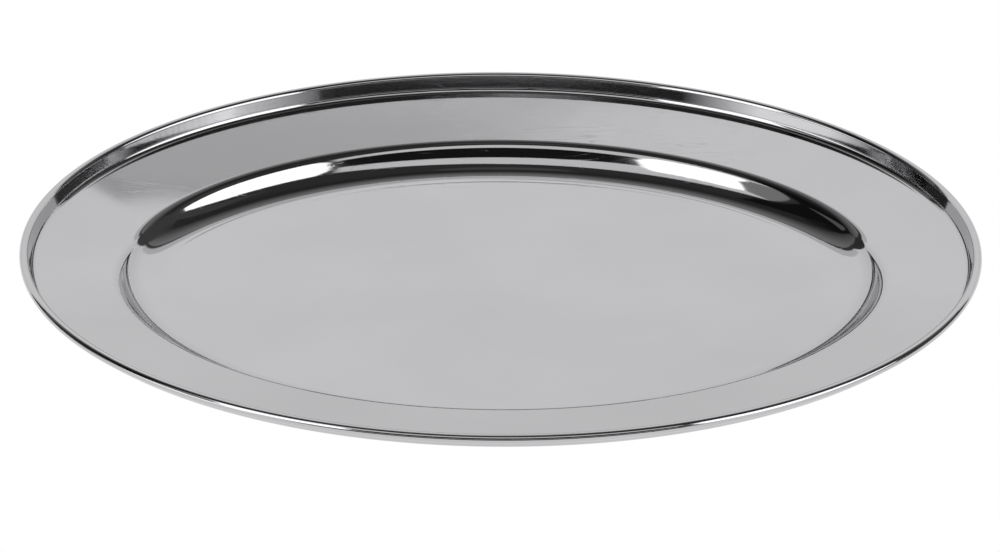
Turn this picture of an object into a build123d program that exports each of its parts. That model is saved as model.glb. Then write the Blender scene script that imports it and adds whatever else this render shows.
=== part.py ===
"""Oval serving tray pressed from one sheet of stainless steel, with a rolled rim.

The tray stands on its flat floor. The origin is on the ground under its middle, +X runs along
the long axis, +Y along the short axis and +Z up. All sizes are in millimetres.
"""

from build123d import *

import math
import os

# Outline and sheet
TRAY_LENGTH = 500.0
TRAY_WIDTH = 350.0
SHEET = 0.8

# Cross-section, measured on the food side of the sheet, from the floor out to the rim
WELL_FILLET_RADIUS = 19.5  # floor into the well's wall
WALL_ANGLE = 60.0  # steepest slope of the well's wall, in degrees
BEND_RADIUS = 8.4  # wall over into the flange
FLANGE_ANGLE = 11.0  # slope of the flange, rising outwards, in degrees
FLANGE_RUN = 37.8  # straight part of the flange, measured level
RIM_FILLET_RADIUS = 3.4  # flange up into the rim
RIM_ANGLE = 80.0  # slope of the rim's upright part, in degrees
RIM_UPSTAND = 5.4  # length of that upright part, between its fillet and the rolled edge
CURL_RADIUS = 2.4  # outside of the rolled edge
CURL_TURN = 300.0  # how far the edge is rolled round, in degrees


def section_run():
    """Level distance from the edge of the flat floor to the tray's outermost edge."""
    wall, flange, upright = (math.radians(angle) for angle in (WALL_ANGLE, FLANGE_ANGLE, RIM_ANGLE))
    fillet = WELL_FILLET_RADIUS * math.sin(wall)
    bend = BEND_RADIUS * (math.sin(wall) - math.sin(flange))
    rim = RIM_FILLET_RADIUS * (math.sin(upright) - math.sin(flange))
    upstand = RIM_UPSTAND * math.cos(upright)
    curl = CURL_RADIUS * (1 + math.sin(upright))
    return fillet + bend + FLANGE_RUN + rim + upstand + curl


def sheet_side(depth):
    """One side of the sheet in section, depth below the food side: a chain of tangent arcs and lines."""
    floor_edge = (TRAY_LENGTH / 2 - section_run(), SHEET - depth)
    flange_length = FLANGE_RUN / math.cos(math.radians(FLANGE_ANGLE))
    fillet = JernArc(floor_edge, (1, 0), WELL_FILLET_RADIUS + depth, WALL_ANGLE)
    bend = JernArc(fillet @ 1, fillet % 1, BEND_RADIUS - depth, FLANGE_ANGLE - WALL_ANGLE)
    flange = Line(bend @ 1, bend @ 1 + (bend % 1) * flange_length)
    rim = JernArc(flange @ 1, flange % 1, RIM_FILLET_RADIUS + depth, RIM_ANGLE - FLANGE_ANGLE)
    upstand = Line(rim @ 1, rim @ 1 + (rim % 1) * RIM_UPSTAND)
    curl = JernArc(upstand @ 1, upstand % 1, CURL_RADIUS - depth, -CURL_TURN)
    return [fillet, bend, flange, rim, upstand, curl]


def wall_section():
    """The sheet's cross-section at the +X end, from the edge of the flat floor to the tip of the curl."""
    food_side = sheet_side(0)
    under_side = sheet_side(SHEET)
    floor_end = Line(food_side[0] @ 0, under_side[0] @ 0)
    curl_tip = Line(food_side[-1] @ 1, under_side[-1] @ 1)
    return Plane.XZ * Face(Wire(food_side + under_side + [floor_end, curl_tip]))


def wall_and_rim():
    """The well's wall, the flange and the rolled rim: one section swept round the oval."""
    outer_oval = Edge.make_ellipse(TRAY_LENGTH / 2, TRAY_WIDTH / 2)
    return sweep(wall_section(), path=outer_oval)


def floor_plate(wall):
    """The flat floor, cut to the inner edge of the wall that it runs into."""
    inner_face = min(wall.faces(), key=lambda face: face.bounding_box().size.X)
    floor_outline = inner_face.edges().filter_by(lambda edge: edge.bounding_box().size.Z < SHEET / 2)
    ground_outline = floor_outline.sort_by(Axis.Z)[0]
    return extrude(Face(Wire(ground_outline)), SHEET, dir=(0, 0, 1))


def pressed_tray():
    """The whole tray as one closed sheet."""
    wall = wall_and_rim()
    tray = (wall + floor_plate(wall)).solid()
    tray.label = "pressed_tray"
    return tray


def main():
    os.makedirs("parts", exist_ok=True)
    tray = pressed_tray()
    export_step(tray, f"parts/{tray.label}.step")


main()
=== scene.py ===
"""Oval serving tray in polished stainless steel: one sheet, pressed and rolled at the rim.

Metres, in the CAD frame: the tray stands on Z = 0, its middle over the origin, +X along its
long axis. The visible tray stands for the CAD node pressed_tray and has the same section.
"""

import math

import bmesh
import bpy
from mathutils import Matrix, Vector


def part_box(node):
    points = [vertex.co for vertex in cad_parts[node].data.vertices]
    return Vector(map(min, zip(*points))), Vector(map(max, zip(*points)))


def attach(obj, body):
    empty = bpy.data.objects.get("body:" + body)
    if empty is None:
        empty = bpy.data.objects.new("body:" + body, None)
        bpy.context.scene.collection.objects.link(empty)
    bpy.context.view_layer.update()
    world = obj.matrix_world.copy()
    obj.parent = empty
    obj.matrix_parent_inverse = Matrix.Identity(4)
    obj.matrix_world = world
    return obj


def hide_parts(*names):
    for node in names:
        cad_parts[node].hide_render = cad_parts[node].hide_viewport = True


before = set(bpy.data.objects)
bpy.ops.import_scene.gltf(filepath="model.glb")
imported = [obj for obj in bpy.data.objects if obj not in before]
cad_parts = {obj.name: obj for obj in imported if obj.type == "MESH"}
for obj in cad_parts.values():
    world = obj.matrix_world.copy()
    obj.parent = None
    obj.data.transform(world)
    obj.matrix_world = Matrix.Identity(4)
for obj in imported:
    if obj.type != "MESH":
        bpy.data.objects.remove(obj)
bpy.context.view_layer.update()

# Section of the sheet, from the floor out to the rim, measured on the food side
SHEET = 0.0008
WELL_FILLET_RADIUS = 0.0195  # floor into the well's wall
WALL_ANGLE = math.radians(60)  # steepest slope of the well's wall
BEND_RADIUS = 0.0084  # wall over into the flange
FLANGE_ANGLE = math.radians(11)  # slope of the flange, rising outwards
FLANGE_RUN = 0.0378  # straight part of the flange, measured level
RIM_FILLET_RADIUS = 0.0034  # flange up into the rim
RIM_ANGLE = math.radians(80)  # slope of the rim's upright part
RIM_UPSTAND = 0.0054  # length of that upright part
CURL_RADIUS = 0.0024  # outside of the rolled edge
CURL_TURN = math.radians(300)  # how far the edge is rolled round

# Fineness of the mesh
ROUND_STEPS = 432  # facets round the oval
ARC_STEP = math.radians(3.5)  # facets round the section's arcs
FLANGE_STEPS = 8
UPSTAND_STEPS = 2
FLOOR_RINGS = (0.985, 0.93, 0.8, 0.62, 0.42, 0.2)  # shares of the floor outline

# Polished steel. Noise scales are in cells per metre
STEEL_LIGHT = (0.541, 0.539, 0.551, 1)
STEEL_DARK = (0.504, 0.502, 0.513, 1)
GRAIN_SCALE = 60
GRAIN_STRETCH = (1, 24, 24)  # the grain runs along the tray
SMEAR_SCALE = 9
SMEAR_STRETCH = (1, 1.6, 1)
SMEAR_TURN = 0.5
SMEAR_ROUGHNESS = (0.045, 0.085)  # roughness off and in the smears
GRAIN_ROUGHNESS = (-0.01, 0.015)  # added by the grain
RIPPLE_SCALE = 14
SCRATCH_SETS = ((0.35, 210), (-0.6, 170), (1.3, 190))  # direction in radians and scale of each set
SCRATCH_STRETCH = (0.03, 1, 1)
SCRATCH_WIDTH = 0.006  # in steps of the noise's grey
SCRATCH_PATCH_SCALE = 23
SCRATCH_ROUGHNESS = 0.10  # added in the scratches
RIPPLE_RELIEF = (0.1, 0.0004)  # strength and height of each bump
GRAIN_RELIEF = (0.04, 0.00004)
SCRATCH_RELIEF = (0.2, 0.00003)

# Camera, fitted to the tray's outline
CAMERA_DISTANCE = 1.70
CAMERA_ELEVATION = math.radians(33.69)
CAMERA_AZIMUTH = math.radians(-0.26)
CAMERA_AIM_HEIGHT = 0.0032
CAMERA_ROLL = math.radians(0.32)
FOCAL_LENGTH = 116.4
SENSOR_WIDTH = 36
SHIFT_X = -0.0006
SHIFT_Y = 0.0084

# Studio: a bright floor, and curved panels in layers round the tray. A nearer one covers a farther one
FLOOR_SIZE = 24
FLOOR_STRENGTH = 1.0
WORLD_GREY = (0.04, 0.04, 0.04, 1)
WHITE = (1, 1, 1, 1)
CARD_RADIUS = 5.95
NEAR_RADIUS = 6.0
FAR_RADIUS = 6.5
BACKDROP_RADIUS = 6.9
PANEL_HALVINGS = 4  # times that each edge of a panel is halved to curve it

# Edges of the large panels, as (azimuth, elevation) in degrees seen from the tray
BACKDROP_TOP = [(-61, 26), (-44, 47), (-25, 57), (0, 60.5), (25, 57), (44, 47), (62, 23)]
COVE_FOOT = [(-58, 22), (-41, 41.5), (-23, 50), (0, 53), (23, 50), (41, 41.5), (59, 20)]
CEILING_EDGE = [(-72, 8), (-64, 28), (-45, 49), (-25, 58.5), (0, 61.5)]
CEILING_EDGE += [(25, 58.5), (45, 49), (64, 25), (72, 8)]
TOP_STRIP_OUTER = [(-107, 47), (-124, 64), (-150, 72), (180, 74), (150, 66), (138, 56)]
TOP_STRIP_INNER = [(145, 42), (160, 49), (180, 52), (-167, 51), (-156, 47), (-150, 45)]
TOP_STRIP_INNER += [(-143, 55), (-121, 50), (-119, 45)]


# ---------------------------------------------------------------- the tray's mesh


def arc(points, turn, radius):
    """Adds to the section an arc that starts in its last direction. Points are (out, up, slope)."""
    out, up, slope = points[-1]
    steps = max(2, round(abs(turn) / ARC_STEP))
    side = math.copysign(1, turn)
    centre_out = out - side * radius * math.sin(slope)
    centre_up = up + side * radius * math.cos(slope)
    for i in range(1, steps + 1):
        now = slope + turn * i / steps
        arc_out = centre_out + side * radius * math.sin(now)
        arc_up = centre_up - side * radius * math.cos(now)
        points.append((arc_out, arc_up, now))


def line(points, length, steps):
    """Adds to the section a straight stretch in its last direction."""
    out, up, slope = points[-1]
    for i in range(1, steps + 1):
        far = length * i / steps
        points.append((out + far * math.cos(slope), up + far * math.sin(slope), slope))


def sheet_side(depth):
    """One side of the sheet, depth below the food side, from the floor's edge to the curl's tip."""
    points = [(0.0, SHEET - depth, 0.0)]
    arc(points, WALL_ANGLE, WELL_FILLET_RADIUS + depth)
    arc(points, FLANGE_ANGLE - WALL_ANGLE, BEND_RADIUS - depth)
    line(points, FLANGE_RUN / math.cos(FLANGE_ANGLE), FLANGE_STEPS)
    arc(points, RIM_ANGLE - FLANGE_ANGLE, RIM_FILLET_RADIUS + depth)
    line(points, RIM_UPSTAND, UPSTAND_STEPS)
    arc(points, -CURL_TURN, CURL_RADIUS - depth)
    return points


def section_run():
    """Level distance from the edge of the flat floor to the tray's outermost edge."""
    return max(out for out, up, slope in sheet_side(0))


def oval_frames(half_length, half_width):
    """Points round the outer oval, each with its outward normal."""
    frames = []
    for i in range(ROUND_STEPS):
        a = 2 * math.pi * i / ROUND_STEPS
        point = Vector((half_length * math.cos(a), half_width * math.sin(a), 0))
        outward = Vector((half_width * math.cos(a), half_length * math.sin(a), 0)).normalized()
        frames.append((point, outward))
    return frames


def add_ring(mesh_data, points, normals):
    """Adds one ring of points and returns the index of its first."""
    start = len(mesh_data["points"])
    mesh_data["points"] += points
    mesh_data["normals"] += normals
    return start


def join_rings(mesh_data, first, second):
    """Quads between two rings. On a level stretch they face up when first is the outer ring."""
    for i in range(ROUND_STEPS):
        j = (i + 1) % ROUND_STEPS
        mesh_data["faces"].append((first + i, first + j, second + j, second + i))


def side_rings(mesh_data, frames, depth, face_up):
    """Rings for one side of the sheet, from the floor's edge outwards."""
    run = section_run()
    rings = []
    for out, up, slope in sheet_side(depth):
        tilt_in = -math.sin(slope) * face_up
        tilt_up = math.cos(slope) * face_up
        points = [p + n * (out - run) + Vector((0, 0, up)) for p, n in frames]
        normals = [n * tilt_in + Vector((0, 0, tilt_up)) for p, n in frames]
        rings.append(add_ring(mesh_data, points, normals))
    return rings


def floor_rings(mesh_data, edge_ring, face_up):
    """The flat floor's rings inside the wall's first ring, from its middle outwards."""
    edge = mesh_data["points"][edge_ring : edge_ring + ROUND_STEPS]
    normal = Vector((0, 0, face_up))
    rings = []
    for share in reversed(FLOOR_RINGS):
        points = [Vector((p.x * share, p.y * share, p.z)) for p in edge]
        rings.append(add_ring(mesh_data, points, [normal] * ROUND_STEPS))
    middle = add_ring(mesh_data, [Vector((0, 0, edge[0].z))], [normal])
    for i in range(ROUND_STEPS):
        j = (i + 1) % ROUND_STEPS
        corner = (middle, rings[0] + i, rings[0] + j)
        mesh_data["faces"].append(corner if face_up > 0 else corner[::-1])
    return rings


def tray_mesh(half_length, half_width, height):
    """The whole sheet as one closed mesh, food side, curl and underside."""
    mesh_data = {"points": [], "normals": [], "faces": []}
    frames = oval_frames(half_length, half_width)
    food = side_rings(mesh_data, frames, 0.0, 1)
    under = side_rings(mesh_data, frames, SHEET, -1)
    food_chain = floor_rings(mesh_data, food[0], 1) + food
    under_chain = floor_rings(mesh_data, under[0], -1) + under
    for inner, outer in zip(food_chain, food_chain[1:]):
        join_rings(mesh_data, outer, inner)
    for inner, outer in zip(under_chain, under_chain[1:]):
        join_rings(mesh_data, inner, outer)
    join_rings(mesh_data, under[-1], food[-1])
    top = max(p.z for p in mesh_data["points"])
    points = [(p.x, p.y, p.z * height / top) for p in mesh_data["points"]]
    mesh = bpy.data.meshes.new("pressed_tray_sheet")
    mesh.from_pydata(points, [], mesh_data["faces"])
    mesh.validate()
    mesh.shade_smooth()
    mesh.normals_split_custom_set_from_vertices([n.normalized() for n in mesh_data["normals"]])
    mesh.update()
    return mesh


# ---------------------------------------------------------------- polished steel


class Nodes:
    """Short calls that add nodes to one material and link them."""

    def __init__(self, material):
        material.use_nodes = True
        self.tree = material.node_tree
        self.tree.nodes.clear()

    def add(self, kind, inputs=None, **settings):
        node = self.tree.nodes.new(kind)
        for name, value in settings.items():
            setattr(node, name, value)
        for name, value in (inputs or {}).items():
            self.put(node.inputs[name], value)
        return node

    def put(self, socket, value):
        if isinstance(value, bpy.types.NodeSocket):
            self.tree.links.new(value, socket)
        else:
            socket.default_value = value

    def math(self, operation, first, second=0.0):
        node = self.add("ShaderNodeMath", operation=operation)
        self.put(node.inputs[0], first)
        self.put(node.inputs[1], second)
        return node.outputs[0]

    def ramp(self, value, low, high, start, end):
        """Maps low..high to start..end, held at the ends."""
        inputs = {"Value": value, "From Min": low, "From Max": high, "To Min": start, "To Max": end}
        return self.add("ShaderNodeMapRange", inputs, clamp=True).outputs["Result"]

    def noise(self, place, scale, detail=2.0, stretch=(1, 1, 1), turn=0.0):
        """Noise in metres: scale is the number of its cells in a metre."""
        inputs = {"Vector": place, "Scale": stretch, "Rotation": (0, 0, turn)}
        mapping = self.add("ShaderNodeMapping", inputs)
        inputs = {"Vector": mapping.outputs["Vector"], "Scale": scale, "Detail": detail}
        return self.add("ShaderNodeTexNoise", inputs).outputs["Fac"]

    def bump(self, height, strength, distance, normal=None, **settings):
        inputs = {"Height": height, "Strength": strength, "Distance": distance}
        if normal is not None:
            inputs["Normal"] = normal
        return self.add("ShaderNodeBump", inputs, **settings).outputs["Normal"]


def scratch_marks(n, place):
    """1 on the fine scratches and 0 off them. Each set lies in its own direction, in patches."""
    marks = None
    for turn, scale in SCRATCH_SETS:
        streaks = n.noise(place, scale, 1, stretch=SCRATCH_STRETCH, turn=turn)
        off_line = n.math("ABSOLUTE", n.math("SUBTRACT", streaks, 0.5))
        scratch = n.ramp(off_line, 0.0, SCRATCH_WIDTH, 1.0, 0.0)
        patch = n.ramp(n.noise(place, SCRATCH_PATCH_SCALE, 2, turn=turn), 0.55, 0.66, 0.0, 1.0)
        scratch = n.math("MULTIPLY", scratch, patch)
        marks = scratch if marks is None else n.math("MAXIMUM", marks, scratch)
    return marks


def steel_roughness(n, smears, grain, scratches):
    """Mirror bright, a little duller in the smears, along the grain and in the scratches."""
    roughness = n.ramp(smears, 0.35, 0.7, *SMEAR_ROUGHNESS)
    roughness = n.math("ADD", roughness, n.ramp(grain, 0.3, 0.7, *GRAIN_ROUGHNESS))
    return n.math("ADD", roughness, n.math("MULTIPLY", scratches, SCRATCH_ROUGHNESS))


def steel_colour(n, smears):
    """Slightly darker in the smears."""
    colour = n.add("ShaderNodeMix", data_type="RGBA")
    n.put(colour.inputs["Factor"], n.ramp(smears, 0.3, 0.75, 0.0, 1.0))
    n.put(colour.inputs["A"], STEEL_LIGHT)
    n.put(colour.inputs["B"], STEEL_DARK)
    return colour.outputs["Result"]


def polished_steel():
    material = bpy.data.materials.new("polished_steel")
    n = Nodes(material)
    place = n.add("ShaderNodeTexCoord").outputs["Object"]
    grain = n.noise(place, GRAIN_SCALE, 3, stretch=GRAIN_STRETCH)
    smears = n.noise(place, SMEAR_SCALE, 4, stretch=SMEAR_STRETCH, turn=SMEAR_TURN)
    ripple = n.noise(place, RIPPLE_SCALE, 1)
    scratches = scratch_marks(n, place)

    normal = n.bump(ripple, *RIPPLE_RELIEF)
    normal = n.bump(grain, *GRAIN_RELIEF, normal)
    normal = n.bump(scratches, *SCRATCH_RELIEF, normal, invert=True)

    shader = n.add("ShaderNodeBsdfPrincipled", {"Metallic": 1.0, "Normal": normal})
    n.put(shader.inputs["Base Color"], steel_colour(n, smears))
    n.put(shader.inputs["Roughness"], steel_roughness(n, smears, grain, scratches))
    output = n.add("ShaderNodeOutputMaterial")
    n.put(output.inputs["Surface"], shader.outputs["BSDF"])
    return material


def build_tray():
    low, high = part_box("pressed_tray")
    mesh = tray_mesh(min(high.x, -low.x), min(high.y, -low.y), high.z)
    tray = bpy.data.objects.new("pressed_tray_steel", mesh)
    bpy.context.scene.collection.objects.link(tray)
    mesh.materials.append(polished_steel())
    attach(tray, "root")
    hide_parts("pressed_tray")


# ---------------------------------------------------------------- studio


def glow(name, strength, fade=None):
    """A plain white light-giving surface. fade is (axis, start, end, strength at the end)."""
    material = bpy.data.materials.new(name)
    n = Nodes(material)
    if fade:
        axis, start, end, last = fade
        place = n.add("ShaderNodeTexCoord").outputs["Object"]
        along = n.add("ShaderNodeSeparateXYZ", {"Vector": place}).outputs[axis]
        strength = n.ramp(along, start, end, strength, last)
    shader = n.add("ShaderNodeEmission", {"Color": WHITE, "Strength": strength})
    output = n.add("ShaderNodeOutputMaterial")
    n.put(output.inputs["Surface"], shader.outputs["Emission"])
    return material


def stage_object(name, mesh, material):
    """Puts one thing of the studio in the scene."""
    mesh.materials.append(material)
    thing = bpy.data.objects.new(name, mesh)
    bpy.context.scene.collection.objects.link(thing)


def direction(azimuth, elevation):
    """Unit vector. Azimuth 0 is away from the camera along +Y, 90 is +X; both are in degrees."""
    a, e = math.radians(azimuth), math.radians(elevation)
    return Vector((math.sin(a) * math.cos(e), math.cos(a) * math.cos(e), math.sin(e)))


def panel(name, strength, corners, radius=NEAR_RADIUS, fade=None):
    """A curved panel round the tray, its corners in the given directions and its edges the shortest."""
    form = bmesh.new()
    form.faces.new([form.verts.new(direction(a, e)) for a, e in corners])
    bmesh.ops.triangulate(form, faces=form.faces)
    for _ in range(PANEL_HALVINGS):
        bmesh.ops.subdivide_edges(form, edges=form.edges, cuts=1, use_grid_fill=True)
    for vertex in form.verts:
        vertex.co = vertex.co.normalized() * radius
    mesh = bpy.data.meshes.new(name)
    form.to_mesh(mesh)
    form.free()
    stage_object(name, mesh, glow(name, strength, fade))


def build_floor():
    half = FLOOR_SIZE / 2
    corners = [(-half, -half, 0), (half, -half, 0), (half, half, 0), (-half, half, 0)]
    mesh = bpy.data.meshes.new("studio_floor")
    mesh.from_pydata(corners, [], [(0, 1, 2, 3)])
    stage_object("studio_floor", mesh, glow("studio_floor", FLOOR_STRENGTH))


def build_back_panels():
    """The bright sweep that the floor and flange mirror, the dim ceiling over it, and a grey card."""
    sweep = [(-61, -3)] + BACKDROP_TOP + [(62, -3)]
    panel("backdrop", 0.86, sweep, BACKDROP_RADIUS, ("Z", 1.4, 3.6, 0.98))
    panel("cove", 0.68, COVE_FOOT + BACKDROP_TOP[::-1], FAR_RADIUS)
    ceiling = CEILING_EDGE + [(88, 30), (80, 80), (-80, 80), (-88, 30)]
    panel("ceiling", 0.27, ceiling, FAR_RADIUS, ("Y", 3.0, 1.2, 0.03))
    panel("overhead", 0.08, [(a, 85) for a in range(-180, 180, 30)])
    panel("grey_frame", 0.48, [(0.27, 44), (0.27, 56), (4.3, 56), (4.3, 44)])
    panel("grey_card", 0.64, [(0.4, 45.5), (0.4, 55.5), (3.6, 55.5), (3.6, 45.5)], CARD_RADIUS)


def build_left_panels():
    """A dark flag, a softbox and the dim wall behind it, and low cards that the rim mirrors."""
    flag = [(-76, -3), (-78, 50), (-85, 68), (-105, 56), (-107, 45), (-106, -3)]
    panel("left_flag", 0.008, flag, FAR_RADIUS)
    wall = [(-111, -3), (-111, 20), (-107, 46), (-125, 50), (-150, 30), (-157, 18), (-157, -3)]
    panel("left_wall", 0.05, wall, FAR_RADIUS, ("Z", 0.5, 2.2, 0.28))
    softbox = [(-119, 45), (-121, 50), (-143, 55), (-150, 45), (-154, 29), (-156, 19), (-132, 16)]
    panel("left_softbox", 2.2, softbox)
    panel("left_base", 0.12, [(-80, 11), (-80, 19.5), (-102, 19.5), (-102, 11)])
    card = [(-118, 2), (-118, 18), (-134, 17), (-151, 14), (-151, 2)]
    panel("left_low_card", 0.13, card, fade=("X", -3.0, -4.2, 1.8))
    side = [(-94, 2), (-96, 14), (-118, 18), (-118, 2)]
    panel("left_low_side", 1.8, side, fade=("Y", -2.6, -0.5, 0.2))


def build_right_panels():
    """A softbox, a dim wall, and low cards that the rim mirrors."""
    softbox = [(133, 54), (108, 42), (97, 23), (99, 15), (109, 14), (132, 11), (146, 17)]
    softbox += [(145, 34), (141, 46)]
    panel("right_softbox", 2.2, softbox)
    wall = [(61, -3), (64, 20), (75, 50), (110, 60), (97, 23), (96, -3)]
    panel("right_wall", 0.07, wall, FAR_RADIUS)
    card = [(128, 2), (128, 17), (146, 17), (155, 14), (155, 2)]
    panel("right_low_card", 1.25, card, fade=("X", 4.0, 2.6, 0.08))
    side = [(96, 2), (98, 12), (110, 13), (128, 17), (128, 2)]
    panel("right_low_side", 0.2, side, fade=("Y", -1.2, -3.6, 1.25))


def build_front_panels():
    """Behind the camera: a dark flag, a bright strip over it, and a lighter card below."""
    flag = [(-157, 14), (-157, 47), (-167, 51), (180, 52), (160, 49), (148, 42), (150, 14)]
    panel("front_flag", 0.012, flag, FAR_RADIUS)
    panel("top_strip", 0.85, TOP_STRIP_OUTER + TOP_STRIP_INNER)
    card = [(-154, 15), (-154, 24), (-167, 25), (180, 25.5), (160, 25), (150, 24), (150, 15)]
    panel("front_card", 0.5, card)
    base = [(-150, -3), (-150, 13.9), (180, 13.9), (150, 13.9), (150, -3), (180, -3)]
    panel("front_base", 0.03, base)


def build_world():
    world = bpy.data.worlds.new("studio")
    world.use_nodes = True
    world.node_tree.nodes["Background"].inputs["Color"].default_value = WORLD_GREY
    bpy.context.scene.world = world


def build_camera():
    data = bpy.data.cameras.new("camera")
    data.sensor_width = SENSOR_WIDTH
    data.lens = FOCAL_LENGTH
    data.shift_x = SHIFT_X
    data.shift_y = SHIFT_Y
    camera = bpy.data.objects.new("camera", data)
    bpy.context.scene.collection.objects.link(camera)
    level = math.cos(CAMERA_ELEVATION)
    sideways = math.sin(CAMERA_AZIMUTH) * level
    forwards = math.cos(CAMERA_AZIMUTH) * level
    back = Vector((sideways, -forwards, math.sin(CAMERA_ELEVATION)))
    look = (-back).to_track_quat("-Z", "Y").to_matrix().to_4x4()
    place = back * CAMERA_DISTANCE + Vector((0, 0, CAMERA_AIM_HEIGHT))
    camera.matrix_world = Matrix.Translation(place) @ look @ Matrix.Rotation(CAMERA_ROLL, 4, "Z")
    bpy.context.scene.camera = camera


build_tray()
build_floor()
build_back_panels()
build_left_panels()
build_right_panels()
build_front_panels()
build_world()
build_camera()
bpy.context.scene.view_settings.view_transform = "Standard"
